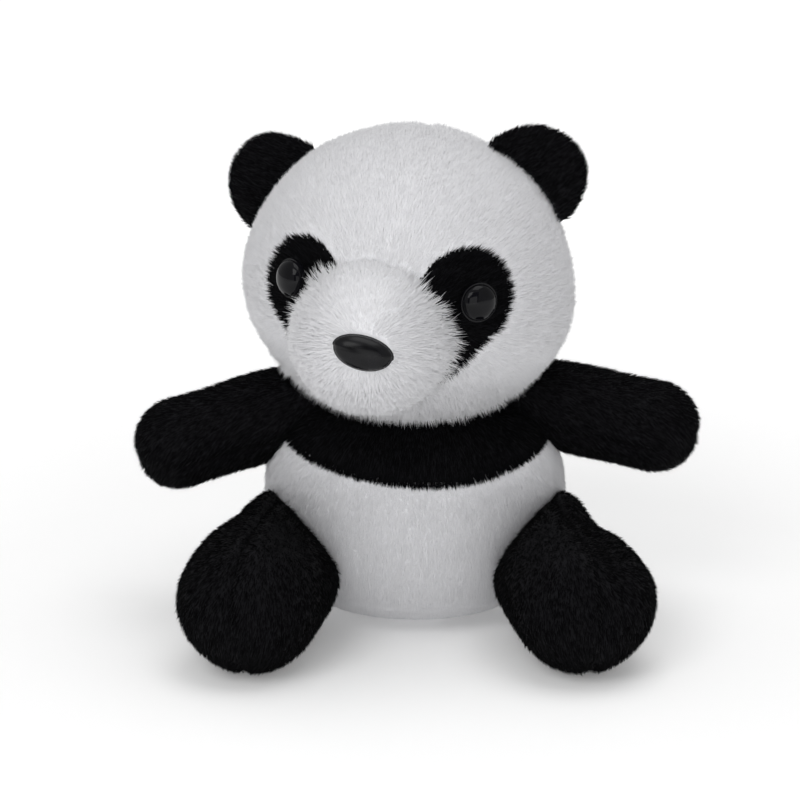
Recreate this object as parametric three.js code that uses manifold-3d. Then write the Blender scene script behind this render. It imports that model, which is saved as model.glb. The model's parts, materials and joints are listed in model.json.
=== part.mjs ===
// A stuffed plush panda, sitting with its arms out: sewn panels over stuffing, with a plastic
// nose and two plastic safety eyes held by washers. Millimetres, +Z up, the panda faces -Y,
// and "left" is the panda's own left, +X. The origin is the middle of the flat seat.
import * as THREE from 'three';
import { mergeVertices } from 'three/addons/utils/BufferGeometryUtils.js';
import Module from 'manifold-3d';

const wasm = await Module();
wasm.setup();

// ---------------------------------------------------------------- driving sizes

const GAP = 0.3; // between pieces that touch
const PLUSH = 2.6; // plush: woven backing and pile together
const TURN_GAP = 1; // free space round a sewn joint that moves
const SEAM_TILT = 3; // degrees that the hand-placed chest band leans

const TORSO_HALF_WIDTH = 39;
const TORSO_HALF_DEPTH = 30.4;
const TORSO_HEIGHT = 61;
const SEAT_RADIUS = 12; // the flat that the toy sits on
const SEAT_PANEL_RADIUS = 14;
const SEAT_PANEL_RISE = 7; // how far up the sides the seat panel could reach
const BAND_HEIGHT = 45.5; // lower edge of the chest band at the sides
const BAND_DIP = 4; // how much lower that edge hangs at the front
const TAIL_RADIUS = 6.5;
const TAIL_HEIGHT = 15;

const HEAD_HALF_WIDTH = 42;
const HEAD_HALF_DEPTH = 37;
const HEAD_HALF_HEIGHT = 37;
const HEAD_ASIDE = -1.5; // the head is sewn on a little off the middle
const HEAD_FORWARD = 6;
const HEAD_TURN = -12; // degrees at rest, towards the panda's right
const HEAD_LEAN = 4.5; // degrees at rest, its left side lower
const NECK_DEPTH = 9.5; // how deep the head sits in the torso's top
const NECK_RADIUS = 20;
const CHEEK = 0.05; // how much wider the face is below its middle
const CROWN_SEAM = 4; // the seam from ear to ear lies this far behind the middle

const MUZZLE = {
  halfWidth: 18.5, halfDepth: 19, halfHeight: 17.5, forward: 35, below: 9.5, aside: -2,
};
const PATCH = { halfWidth: 10.8, halfHeight: 12.8, azimuth: 33.5, height: 1.2, tilt: 36, tip: 10 };
const EYE = { radius: 5, dome: 4, shank: 1.5, length: 9, azimuth: 36.5, height: 2.2 };
const EYE_WASHER = { radius: 5, thickness: 1.2 };
const NOSE = {
  halfWidth: 7.4, halfHeight: 3.9, dome: 3.7, shank: 2, length: 9, azimuth: 8, height: -7.4, roll: -10,
};
const NOSE_WASHER = { radius: 5.5, thickness: 1.4 };
const WASHER_DEPTH = 2; // how far behind the plush a washer sits

const EAR = { halfWidth: 14.5, height: 15, halfThickness: 5, cup: 4.5, behind: 6 };
const EAR_OUTWARD = { left: 47, right: 65 }; // degrees from straight up; they are sewn on unevenly
const EAR_SINK = 2; // the ear's middle line lies this far inside the head's surface
const EAR_ROOT_GAP = 2; // room for the ear to bend at its seam

const ARM = { root: 7.8, radius: 12.1, fullAt: 16, length: 43, flatness: 0.86 };
const SHOULDER_INSET = 8.5; // the shoulder joint lies this far inside the torso's widest point
const SHOULDER_BEHIND = 3;
const SIDE_SEAM = SHOULDER_BEHIND; // the side seams run down through the shoulders
const ARM_UNDER_HEAD = 1.5; // free height between the arm's root and the head
const ARM_DROOP = { left: 9, right: 14 }; // degrees
const ARM_FORWARD = 14; // degrees

const LEG = { root: 15.2, radius: 17.5, fullAt: 22, length: 54.5, flatness: 1 };
const HIP_INSET = 7;
const HIP_FORWARD = 8;
const HIP_HEIGHT = 20;
const LEG_SPLAY = 13; // degrees

const STITCH = 0.35; // radius of a sewn ring of thread
const STITCH_RISE = 0.5; // from the sewn piece's surface to the middle of the thread
const NECK_STITCH_RADIUS = 12;
const NECK_STITCH_ROOM = 0.56; // free space on each side of the neck's ring of thread

// How far each sewn joint gives, in degrees: the torso keeps clear of the limbs over this.
const ARM_SWING = [-15, 30]; // back, forward
const ARM_RAISE = [-10, 20];
const LEG_SPREAD = [-6, 14];
const LEG_LIFT = [0, 20];

// ---------------------------------------------------------------- materials

const material = (color, roughness, metalness = 0) =>
  new THREE.MeshStandardMaterial({ color, roughness, metalness });
const WHITE_PLUSH = 0xeeeef0;
const BLACK_PLUSH = 0x141416;
const STUFFING = 0xf7f5ee;
const BLACK_PLASTIC = 0x0b0b0d;
const WASHER_PLASTIC = 0xe9e7df;
const THREAD = 0x1c1c1e;

// ---------------------------------------------------------------- solids

const rad = THREE.MathUtils.degToRad;
const SIDES = { left: 1, right: -1 };
const FAR = 400; // longer than the toy, for cutting blocks
const STITCH_LATITUDE = 35; // degrees that a limb's ring of thread lies behind its ball's middle
const ROOM_SIDES = 8; // sides of the plain bars that stand for a limb's room

function toSolid(geometry) {
  const bare = geometry.clone();
  bare.deleteAttribute('normal');
  bare.deleteAttribute('uv');
  const merged = mergeVertices(bare, 1e-4);
  const index = Array.from(merged.index.array);
  const kept = [];
  for (let i = 0; i < index.length; i += 3) {
    const [a, b, c] = index.slice(i, i + 3);
    if (a !== b && b !== c && c !== a) kept.push(a, b, c);
  }
  return new wasm.Manifold(new wasm.Mesh({
    numProp: 3,
    vertProperties: Float32Array.from(merged.attributes.position.array),
    triVerts: Uint32Array.from(kept),
  }));
}

function toGeometry(solid) {
  const mesh = solid.getMesh();
  const geometry = new THREE.BufferGeometry();
  geometry.setAttribute('position', new THREE.BufferAttribute(mesh.vertProperties, 3));
  geometry.setIndex(new THREE.BufferAttribute(mesh.triVerts, 1));
  geometry.computeVertexNormals();
  return geometry;
}

const placed = (geometry, matrix) => toSolid(geometry.clone().applyMatrix4(matrix));

function transform({ at = [0, 0, 0], turn = [0, 0, 0], order = 'XYZ' }) {
  const [x, y, z] = turn.map(rad);
  const spin = new THREE.Quaternion().setFromEuler(new THREE.Euler(x, y, z, order));
  return new THREE.Matrix4().compose(new THREE.Vector3(...at), spin, new THREE.Vector3(1, 1, 1));
}

// Moves every vertex of a geometry by a function of its position.
function shaped(geometry, move) {
  const position = geometry.attributes.position;
  const point = new THREE.Vector3();
  for (let i = 0; i < position.count; i += 1) {
    move(point.fromBufferAttribute(position, i));
    position.setXYZ(i, point.x, point.y, point.z);
  }
  return geometry;
}

// The same closed form made smaller (or larger, for a negative inset) by an even thickness.
function inset(geometry, thickness) {
  const copy = geometry.clone();
  copy.computeBoundingBox();
  const middle = copy.boundingBox.getCenter(new THREE.Vector3());
  const half = copy.boundingBox.getSize(new THREE.Vector3()).multiplyScalar(0.5);
  return shaped(copy, (p) => {
    for (const axis of ['x', 'y', 'z']) {
      p[axis] = middle[axis] + (p[axis] - middle[axis]) * (1 - thickness / half[axis]);
    }
  });
}

function block([x0, x1], [y0, y1], [z0, z1], matrix = new THREE.Matrix4()) {
  const box = new THREE.BoxGeometry(x1 - x0, y1 - y0, z1 - z0);
  box.translate((x0 + x1) / 2, (y0 + y1) / 2, (z0 + z1) / 2);
  return placed(box, matrix);
}

const ALL = [-FAR, FAR];
const ABOVE = [GAP / 2, FAR];
const BELOW = [-FAR, -GAP / 2];

// A round bar along an axis direction, for holes and washers.
function bar(radius, from, to, matrix, segments = 12) {
  const cylinder = new THREE.CylinderGeometry(radius, radius, to - from, segments);
  cylinder.rotateX(Math.PI / 2).translate(0, 0, (from + to) / 2);
  return placed(cylinder, matrix);
}

function ellipsoid([x, y, z], segments, rings) {
  const ball = new THREE.SphereGeometry(1, segments, rings);
  return ball.rotateX(Math.PI / 2).scale(x, y, z);
}

function addMesh(group, name, solid, look) {
  const mesh = new THREE.Mesh(toGeometry(solid), look);
  mesh.name = name;
  group.add(mesh);
}

// ---------------------------------------------------------------- shared forms

// Local frames: the head's has its origin at the head's middle and looks along -Y.

const headForm = shaped(
  ellipsoid([HEAD_HALF_WIDTH, HEAD_HALF_DEPTH, HEAD_HALF_HEIGHT], 20, 12),
  (p) => {
    const t = p.z / HEAD_HALF_HEIGHT;
    p.x *= 1 - CHEEK * t * (1 - t * t) * 2;
  },
);

const muzzleForm = ellipsoid([MUZZLE.halfWidth, MUZZLE.halfDepth, MUZZLE.halfHeight], 16, 10)
  .translate(MUZZLE.aside, -MUZZLE.forward, -MUZZLE.below);

const sphereReach = (halfWidth, halfHeight, aside) => {
  const angle = Math.asin(Math.min(aside / halfHeight, 1));
  return 1 / Math.hypot(Math.sin(angle) / halfWidth, Math.cos(angle) / halfHeight);
};

// The hollow in the torso's top is part of a ball round the head's middle.
const NECK_BALL = sphereReach(HEAD_HALF_WIDTH, HEAD_HALF_HEIGHT, NECK_RADIUS) + TURN_GAP;
const HEAD_MIDDLE = [HEAD_ASIDE, -HEAD_FORWARD, TORSO_HEIGHT - NECK_DEPTH + NECK_BALL];

const headMatrix = transform({ at: HEAD_MIDDLE, turn: [0, HEAD_LEAN, HEAD_TURN], order: 'ZYX' });

// Outline of the torso: fractions of its half width and of its height, above the flat seat.
const TORSO_OUTLINE = [
  [0.6, 0.03], [0.83, 0.12], [0.965, 0.28], [1, 0.47], [0.965, 0.67],
  [0.86, 0.81], [0.68, 0.92], [0.4, 0.985], [0, 1],
];

const torsoForm = new THREE.LatheGeometry(
  [[0, 0], [SEAT_RADIUS, 0], ...TORSO_OUTLINE.map(([r, z]) => [r * TORSO_HALF_WIDTH, z * TORSO_HEIGHT])]
    .map(([r, z]) => new THREE.Vector2(r, z)),
  20,
).rotateX(Math.PI / 2).scale(1, TORSO_HALF_DEPTH / TORSO_HALF_WIDTH, 1);

// A limb lies along +X from its joint at the origin: a ball at the joint, full further out,
// with a round end.
function limbForm({ root, radius, fullAt, length, flatness }, segments = 12) {
  const outline = [];
  const endAt = length - radius;
  for (const a of [-90, -45, 0]) {
    outline.push([root * Math.cos(rad(a)), root * Math.sin(rad(a))]);
  }
  for (const t of [0.5]) {
    outline.push([root + (radius - root) * Math.sin((t * Math.PI) / 2), t * fullAt]);
  }
  for (const a of [0, 30, 60, 90]) {
    outline.push([radius * Math.cos(rad(a)), endAt + radius * Math.sin(rad(a))]);
  }
  outline[outline.length - 1][0] = 0;
  outline[0][0] = 0;
  const lathe = new THREE.LatheGeometry(outline.map(([r, s]) => new THREE.Vector2(r, s)), segments);
  lathe.rotateZ(-Math.PI / 2);
  return shaped(lathe, (p) => {
    const t = THREE.MathUtils.smoothstep(p.x, root * 0.5, fullAt);
    p.y *= 1 + (flatness - 1) * t;
  });
}

// How far the head reaches from its middle in a direction, over its fullest cheeks.
function headReach(direction) {
  const [x, y, z] = direction.clone().normalize().toArray();
  const width = HEAD_HALF_WIDTH * (1 + CHEEK);
  return 1 / Math.hypot(x / width, y / HEAD_HALF_DEPTH, z / HEAD_HALF_HEIGHT);
}

// The height at which an arm's ball, at x and y, just clears the head above it.
function heightUnderHead(x, y) {
  const [headX, headY, headZ] = HEAD_MIDDLE;
  const offset = new THREE.Vector3(x - headX, y - headY, -HEAD_HALF_HEIGHT);
  const aside = Math.hypot(offset.x, offset.y);
  for (let i = 0; i < 20; i += 1) {
    const reach = headReach(offset) + ARM_UNDER_HEAD + ARM.root;
    offset.z = -Math.sqrt(Math.max(reach ** 2 - aside ** 2, 0));
  }
  return headZ + offset.z;
}

// Joints of the limbs, and the angles at which they rest.
function shoulderAt(side) {
  const x = SIDES[side] * (TORSO_HALF_WIDTH - SHOULDER_INSET);
  return [x, SHOULDER_BEHIND, heightUnderHead(x, SHOULDER_BEHIND)];
}
const hipAt = (side) => [SIDES[side] * (TORSO_HALF_WIDTH - HIP_INSET), -HIP_FORWARD, HIP_HEIGHT];
// The leg slopes down just enough for the round of its foot to touch the ground.
const footAt = LEG.length - LEG.radius;
const legDrop = THREE.MathUtils.radToDeg(
  Math.asin(HIP_HEIGHT / Math.hypot(footAt, LEG.radius)) - Math.atan2(LEG.radius, footAt),
);

// The matrix that puts a limb in place: "swing" turns it forward, "lift" raises it.
function limbMatrix(side, at, forward, droop, swing = 0, lift = 0) {
  const out = SIDES[side];
  const aim = out > 0 ? -(forward + swing) : 180 + forward + swing;
  return transform({ at, turn: [0, droop - lift, aim], order: 'ZYX' });
}

const armMatrix = (side, swing, lift) =>
  limbMatrix(side, shoulderAt(side), ARM_FORWARD, ARM_DROOP[side], swing, lift);
const legMatrix = (side, spread = 0, lift = 0) =>
  limbMatrix(side, hipAt(side), 90 - LEG_SPLAY, legDrop, -spread, lift);

// A plainer form that a limb fits inside, with room to spare all round.
function limbRoom({ root, radius, fullAt, length }, spare) {
  const corner = 1 + 1 / ROOM_SIDES; // a flat-sided bar has to be this much fatter
  const ball = (root + spare) * corner;
  const outline = [
    [0, -ball], [0.78 * ball, -0.78 * ball], [ball, 0],
    [(radius + spare) * corner, 0.75 * fullAt], [(radius + spare) * corner, length], [0, length],
  ];
  const points = outline.map(([r, s]) => new THREE.Vector2(r, s));
  return new THREE.LatheGeometry(points, ROOM_SIDES).rotateZ(-Math.PI / 2);
}

// The poses in which a limb comes closest to the torso: arms low, legs in and lifted.
const ARM_POSES = [[0, 0], [ARM_SWING[0], ARM_RAISE[0]], [ARM_SWING[1], ARM_RAISE[0]]];
const LEG_POSES = [
  [0, 0], [LEG_SPREAD[0], LEG_LIFT[0]], [LEG_SPREAD[0], LEG_LIFT[1]], [LEG_SPREAD[1], LEG_LIFT[1]],
];

// The room that a limb needs over its whole range, for the torso to be cut by.
function sweep(limb, matrixFor, poses, side, grow) {
  const form = limbRoom(limb, grow + TURN_GAP);
  return poses
    .map(([a, b]) => placed(form, matrixFor(side, a, b)))
    .reduce((all, one) => all.add(one));
}

// The torso, smaller by an inset, with a dimple for the head and for each limb.
function torsoSolid(thickness) {
  const ball = new THREE.SphereGeometry(NECK_BALL + thickness, 20, 14).rotateX(Math.PI / 2);
  let solid = toSolid(inset(torsoForm, thickness));
  solid = solid.subtract(placed(ball, transform({ at: HEAD_MIDDLE })));
  for (const side of Object.keys(SIDES)) {
    solid = solid
      .subtract(sweep(ARM, armMatrix, ARM_POSES, side, thickness))
      .subtract(sweep(LEG, legMatrix, LEG_POSES, side, thickness));
  }
  return solid;
}

// ---------------------------------------------------------------- torso

function buildTorso() {
  const group = new THREE.Group();
  const white = material(WHITE_PLUSH, 0.95);
  const black = material(BLACK_PLUSH, 0.95);
  const cover = torsoSolid(0).subtract(torsoSolid(PLUSH));

  const dip = THREE.MathUtils.radToDeg(Math.atan2(BAND_DIP, TORSO_HALF_DEPTH));
  const edge = transform({ at: [0, 0, BAND_HEIGHT], turn: [dip, SEAM_TILT, 0] });
  const bandSpace = block(ALL, ALL, ABOVE, edge);
  const belowBand = block(ALL, ALL, BELOW, edge);
  const seatSpace = (radius) => bar(radius, -1, SEAT_PANEL_RISE, new THREE.Matrix4(), 28);

  const sides = transform({ at: [0, SIDE_SEAM, 0] });
  const fore = block(ALL, BELOW, ALL, sides);
  const aft = block(ALL, ABOVE, ALL, sides);
  addMesh(group, 'chest_band', cover.intersect(bandSpace).intersect(fore), black);
  addMesh(group, 'shoulder_band', cover.intersect(bandSpace).intersect(aft), black);

  const seat = cover.intersect(seatSpace(SEAT_PANEL_RADIUS));
  const lower = cover.intersect(belowBand).subtract(seatSpace(SEAT_PANEL_RADIUS + GAP));
  addMesh(group, 'seat_panel', seat, white);
  addMesh(group, 'belly_panel', lower.intersect(fore), white);

  const tail = ellipsoid([TAIL_RADIUS, TAIL_RADIUS, TAIL_RADIUS], 12, 6);
  const depthThere = TORSO_HALF_DEPTH * Math.sqrt(1 - (1 - TAIL_HEIGHT / (0.47 * TORSO_HEIGHT)) ** 2);
  const tailMatrix = transform({ at: [0, depthThere + TAIL_RADIUS * 0.4, TAIL_HEIGHT] });
  const body = toSolid(inset(torsoForm, -GAP));
  const tailOuter = placed(tail, tailMatrix).subtract(body);
  const tailHollow = placed(inset(tail, PLUSH), tailMatrix);
  addMesh(group, 'tail_cover', tailOuter.subtract(tailHollow), white);
  addMesh(group, 'tail_stuffing',
    placed(inset(tail, PLUSH + GAP), tailMatrix).subtract(body), material(STUFFING, 1));

  const back = lower.intersect(aft);
  addMesh(group, 'back_panel_left', back.intersect(block(ABOVE, ALL, ALL)), white);
  addMesh(group, 'back_panel_right', back.intersect(block(BELOW, ALL, ALL)), white);

  addMesh(group, 'torso_stuffing', torsoSolid(PLUSH + GAP), material(STUFFING, 1));
  return group;
}

// ---------------------------------------------------------------- head

// A frame on the head's surface: its Z points outwards and its Y up.
function onHead(azimuth, height, form = [HEAD_HALF_WIDTH, HEAD_HALF_DEPTH, HEAD_HALF_HEIGHT]) {
  const a = rad(azimuth);
  const z = height / form[2];
  const flat = Math.sqrt(1 - z * z);
  const ray = 1 / Math.hypot(Math.sin(a) / form[0], Math.cos(a) / form[1]);
  const at = [ray * Math.sin(a) * flat, -ray * Math.cos(a) * flat, height];
  const out = new THREE.Vector3(at[0] / form[0] ** 2, at[1] / form[1] ** 2, at[2] / form[2] ** 2).normalize();
  return facing(at, out);
}

function facing(at, out) {
  const across = new THREE.Vector3(0, 0, 1).cross(out).normalize();
  const up = out.clone().cross(across);
  const matrix = new THREE.Matrix4().makeBasis(across, up, out);
  return matrix.setPosition(...at);
}

// An eye patch: an oval drawn out to a tip below, towards the muzzle.
function patchPrism(side, grow) {
  const shape = new THREE.Shape();
  const { halfWidth, halfHeight, tip } = PATCH;
  const count = 16;
  for (let i = 0; i < count; i += 1) {
    const a = (i / count) * 2 * Math.PI;
    const down = Math.max(-Math.sin(a), 0);
    const x = (halfWidth + grow) * Math.cos(a) * (1 - 0.25 * down);
    const y = (halfHeight + grow) * Math.sin(a) - tip * down ** 3;
    if (i === 0) shape.moveTo(x, y);
    else shape.lineTo(x, y);
  }
  const prism = new THREE.ExtrudeGeometry(shape, { depth: 40, bevelEnabled: false, curveSegments: 1 });
  prism.translate(0, 0, -20).rotateZ(rad(-SIDES[side] * PATCH.tilt));
  return placed(prism, onHead(SIDES[side] * PATCH.azimuth, PATCH.height));
}

// A domed plastic button with a shank, made by turning its outline about Z.
function domedPiece({ radius, dome, shank, length }, segments = 14) {
  const rim = 0.8;
  const outline = [[0, -length], [shank, -length], [shank, 0], [radius, 0], [radius, rim]];
  for (const a of [25, 58]) {
    outline.push([radius * 0.95 * Math.cos(rad(a)), rim + (dome - rim) * Math.sin(rad(a))]);
  }
  outline.push([0, dome]);
  const points = outline.map(([r, z]) => new THREE.Vector2(r, z));
  return new THREE.LatheGeometry(points, segments).rotateX(Math.PI / 2);
}

function washer(frame, { radius, thickness }, shank, depth) {
  return bar(radius, -depth - thickness, -depth, frame).subtract(bar(shank + GAP, -FAR / 4, 1, frame));
}

// The space that a shank and its washer take in the stuffing, open to the surface.
function shankSpace(frame, { shank, length }, { radius, thickness }, depth) {
  const wide = bar(radius + GAP, -depth - thickness - GAP, 1, frame);
  return wide.add(bar(shank + GAP, -length - GAP, 1, frame));
}

function buildHead() {
  const group = new THREE.Group();
  group.applyMatrix4(headMatrix);
  const white = material(WHITE_PLUSH, 0.95);
  const black = material(BLACK_PLUSH, 0.95);
  const plastic = material(BLACK_PLASTIC, 0.12);
  const clip = material(WASHER_PLASTIC, 0.5);

  const cover = toSolid(headForm).subtract(toSolid(inset(headForm, PLUSH)));
  const crown = transform({ at: [0, CROWN_SEAM, 0] });
  let front = cover.intersect(block(ALL, BELOW, ALL, crown)).subtract(toSolid(inset(muzzleForm, -GAP)));
  let stuffing = toSolid(inset(headForm, PLUSH + GAP)).add(toSolid(inset(muzzleForm, PLUSH + GAP)));
  let muzzle = toSolid(muzzleForm)
    .subtract(toSolid(inset(muzzleForm, PLUSH)))
    .subtract(toSolid(inset(headForm, PLUSH)));

  for (const side of Object.keys(SIDES)) {
    const eyeFrame = onHead(SIDES[side] * EYE.azimuth, EYE.height);
    const hole = bar(EYE.shank + GAP, -FAR / 8, GAP, eyeFrame);
    const seat = bar(EYE.radius + GAP, -GAP, EYE.dome, eyeFrame);
    const patch = cover.intersect(patchPrism(side, 0)).intersect(block(ALL, BELOW, ALL, crown))
      .subtract(toSolid(inset(muzzleForm, -GAP)));
    addMesh(group, `eye_patch_${side}`, patch.subtract(hole).subtract(seat), black);
    muzzle = muzzle.subtract(hole).subtract(seat);
    front = front.subtract(patchPrism(side, GAP));
    addMesh(group, `eye_${side}`, placed(domedPiece(EYE), eyeFrame), plastic);
    addMesh(group, `eye_washer_${side}`, washer(eyeFrame, EYE_WASHER, EYE.shank, PLUSH + WASHER_DEPTH), clip);
    stuffing = stuffing.subtract(shankSpace(eyeFrame, EYE, EYE_WASHER, PLUSH + WASHER_DEPTH));
  }

  const muzzleHalf = [MUZZLE.halfWidth, MUZZLE.halfDepth, MUZZLE.halfHeight];
  const noseFrame = new THREE.Matrix4()
    .makeTranslation(MUZZLE.aside, -MUZZLE.forward, -MUZZLE.below)
    .multiply(onHead(NOSE.azimuth, NOSE.height + MUZZLE.below, muzzleHalf));
  noseFrame.multiply(transform({ turn: [0, 0, NOSE.roll] }));
  const noseForm = (grow) => shaped(
    domedPiece({ ...NOSE, radius: NOSE.halfWidth + grow, dome: NOSE.dome + grow }),
    (p) => {
      const squeeze = (NOSE.halfHeight + grow) / (NOSE.halfWidth + grow);
      if (p.z >= 0) p.y *= squeeze * (p.y < 0 ? 1.08 : 0.92);
    },
  );
  const noseHole = bar(NOSE.shank + GAP, -FAR / 8, GAP, noseFrame);
  const noseSeat = placed(noseForm(GAP).translate(0, 0, -GAP), noseFrame);
  addMesh(group, 'nose', placed(noseForm(0), noseFrame), plastic);
  addMesh(group, 'nose_washer', washer(noseFrame, NOSE_WASHER, NOSE.shank, PLUSH + WASHER_DEPTH), clip);
  stuffing = stuffing.subtract(shankSpace(noseFrame, NOSE, NOSE_WASHER, PLUSH + WASHER_DEPTH));

  addMesh(group, 'muzzle_cover', muzzle.subtract(noseHole).subtract(noseSeat), white);
  addMesh(group, 'head_front_cover', front, white);
  const back = cover.intersect(block(ALL, ABOVE, ALL, crown));
  addMesh(group, 'head_back_cover_left', back.intersect(block(ABOVE, ALL, ALL)), white);
  addMesh(group, 'head_back_cover_right', back.intersect(block(BELOW, ALL, ALL)), white);
  addMesh(group, 'head_stuffing', stuffing, material(STUFFING, 1));
  return group;
}

// ---------------------------------------------------------------- ears

// An ear stands along +Z from its root, is flat in Y and is cupped towards -Y.
function earForm(thickness) {
  const form = ellipsoid([EAR.halfWidth, EAR.halfThickness, EAR.height], 12, 8);
  const slim = inset(form, thickness);
  return shaped(slim, (p) => {
    p.y -= EAR.cup * (p.x / EAR.halfWidth) ** 2;
  });
}

function buildEar(side) {
  const group = new THREE.Group();
  group.applyMatrix4(headMatrix);
  const black = material(BLACK_PLUSH, 0.95);
  const out = rad(EAR_OUTWARD[side]);
  const ray = 1 / Math.hypot(Math.sin(out) / HEAD_HALF_WIDTH, Math.cos(out) / HEAD_HALF_HEIGHT);
  const shrink = Math.sqrt(1 - (EAR.behind / HEAD_HALF_DEPTH) ** 2);
  const reach = ray * shrink - EAR_SINK;
  const at = [SIDES[side] * reach * Math.sin(out), EAR.behind, reach * Math.cos(out)];
  const stand = transform({ at, turn: [0, SIDES[side] * EAR_OUTWARD[side], 0] });

  const head = toSolid(inset(headForm, -EAR_ROOT_GAP));
  const outer = placed(earForm(0), stand).subtract(head);
  const hollow = placed(earForm(PLUSH), stand);
  const cover = outer.subtract(hollow);

  // The front and back panels meet along the ear's rim, on a sheet cupped as the ear is.
  const sheet = shaped(new THREE.BoxGeometry(4 * EAR.halfWidth, FAR, 8 * EAR.height, 12, 1, 1)
    .translate(0, FAR / 2 + GAP / 2, 0), (p) => {
    p.y -= EAR.cup * (p.x / EAR.halfWidth) ** 2;
  });
  const rear = placed(sheet, stand);
  const fore = placed(sheet.clone().translate(0, -FAR - GAP, 0), stand);
  addMesh(group, `ear_front_${side}`, cover.intersect(fore), black);
  addMesh(group, `ear_back_${side}`, cover.intersect(rear), black);
  addMesh(group, `ear_stuffing_${side}`,
    placed(earForm(PLUSH + GAP), stand).subtract(head), material(STUFFING, 1));
  return group;
}

// ---------------------------------------------------------------- limbs

// A limb is a bag of two panels that meet along its length, over its stuffing.
function buildLimb(limb, matrix, [firstName, secondName], stuffingName, roll) {
  const group = new THREE.Group();
  group.applyMatrix4(matrix);
  const black = material(BLACK_PLUSH, 0.95);
  const form = limbForm(limb);
  const cover = toSolid(form).subtract(toSolid(inset(form, PLUSH)));
  const seam = transform({ turn: [roll, 0, 0] });
  addMesh(group, firstName, cover.intersect(block(ALL, ALL, ABOVE, seam)), black);
  addMesh(group, secondName, cover.intersect(block(ALL, ALL, BELOW, seam)), black);
  addMesh(group, stuffingName, toSolid(inset(form, PLUSH + GAP)), material(STUFFING, 1));
  return group;
}

// A ring of thread in the free space round a joint, where one piece is sewn to another.
// It lies in the plane across the matrix's X axis.
function buildStitching(name, radius, matrix, thread = STITCH) {
  const group = new THREE.Group();
  group.applyMatrix4(matrix);
  const ring = new THREE.TorusGeometry(radius, thread, 4, 16).rotateY(Math.PI / 2);
  addMesh(group, name, toSolid(ring), material(THREAD, 0.8));
  return group;
}

// The ring round a limb's ball, a little behind its fullest part.
function limbStitching(name, limb, matrix) {
  const reach = limb.root + STITCH_RISE;
  const back = rad(STITCH_LATITUDE);
  const shift = transform({ at: [-reach * Math.sin(back), 0, 0] });
  return buildStitching(name, reach * Math.cos(back), matrix.clone().multiply(shift));
}

function neckStitching() {
  const headReachThere = sphereReach(HEAD_HALF_WIDTH, HEAD_HALF_HEIGHT, NECK_STITCH_RADIUS);
  const reach = (NECK_BALL + headReachThere) / 2;
  const below = Math.sqrt(reach ** 2 - NECK_STITCH_RADIUS ** 2);
  const thread = (NECK_BALL - headReachThere) / 2 - NECK_STITCH_ROOM;
  const [x, y, z] = HEAD_MIDDLE;
  return buildStitching('neck_stitching', NECK_STITCH_RADIUS,
    transform({ at: [x, y, z - below], turn: [0, 90, 0] }), thread);
}

function buildArm(side) {
  const names = [`arm_upper_panel_${side}`, `arm_lower_panel_${side}`];
  return buildLimb(ARM, armMatrix(side), names, `arm_stuffing_${side}`, SIDES[side] * 25);
}

function buildLeg(side) {
  const names = [`leg_outer_panel_${side}`, `leg_inner_panel_${side}`];
  return buildLimb(LEG, legMatrix(side), names, `leg_stuffing_${side}`, SIDES[side] * -90);
}

// ---------------------------------------------------------------- the toy

const panda = new THREE.Group();
panda.add(buildTorso(), buildHead(), neckStitching());
for (const side of Object.keys(SIDES)) {
  panda.add(buildEar(side), buildArm(side), buildLeg(side));
  panda.add(limbStitching(`arm_stitching_${side}`, ARM, armMatrix(side)));
  panda.add(limbStitching(`leg_stitching_${side}`, LEG, legMatrix(side)));
}

export default panda;
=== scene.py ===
import json
import math
from functools import partial

import bmesh
import bpy
import numpy as np
from mathutils import Matrix, Vector


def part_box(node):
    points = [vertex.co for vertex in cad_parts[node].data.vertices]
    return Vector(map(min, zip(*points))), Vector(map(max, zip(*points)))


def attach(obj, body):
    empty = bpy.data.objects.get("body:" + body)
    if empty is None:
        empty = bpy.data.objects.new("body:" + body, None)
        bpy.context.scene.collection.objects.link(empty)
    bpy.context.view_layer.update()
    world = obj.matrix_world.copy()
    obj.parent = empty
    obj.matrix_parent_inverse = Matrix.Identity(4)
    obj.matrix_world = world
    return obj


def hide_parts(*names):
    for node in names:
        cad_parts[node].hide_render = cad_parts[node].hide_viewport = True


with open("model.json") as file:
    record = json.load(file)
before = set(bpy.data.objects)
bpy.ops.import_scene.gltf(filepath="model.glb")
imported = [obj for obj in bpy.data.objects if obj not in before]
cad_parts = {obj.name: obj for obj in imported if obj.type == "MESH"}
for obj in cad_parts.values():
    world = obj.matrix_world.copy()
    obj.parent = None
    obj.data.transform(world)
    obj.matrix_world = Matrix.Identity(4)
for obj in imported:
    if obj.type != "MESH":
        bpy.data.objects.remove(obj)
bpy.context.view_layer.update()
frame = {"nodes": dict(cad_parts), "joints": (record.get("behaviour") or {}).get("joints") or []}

# The plush panda's soft covers are skins that carry a pile of short fibres.
# Lengths are in metres. Tables of sizes, such as EYE, hold millimetres and degrees.
MM = 0.001
JOINTS = {joint["name"]: joint for joint in frame["joints"]}
SIDES = {"left": 1, "right": -1}
PILE_SHARE = 1.0

random = np.random.default_rng(20)


# ---------------------------------------------------------------- vectors


def unit(v):
    return v / np.maximum(np.linalg.norm(v, axis=-1, keepdims=True), 1e-12)


def dot(a, b):
    return (a * b).sum(-1)


def smooth(x, low, high):
    t = np.clip((x - low) / (high - low), 0, 1)
    return t * t * (3 - 2 * t)


def turn(axis, degrees):
    return np.array(Matrix.Rotation(math.radians(degrees), 3, axis))


def waves(points, size, seed, count=6):
    """Soft noise from -1 to 1, made of a few sine waves about size apart."""
    own = np.random.default_rng(seed)
    direction = unit(own.normal(size=(count, 3)))
    rate = 2 * np.pi / (size * own.uniform(0.7, 1.5, count))
    return np.sin(points @ (direction.T * rate) + own.uniform(0, 6.28, count)).sum(1) / count ** 0.75


# ---------------------------------------------------------------- materials


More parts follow.
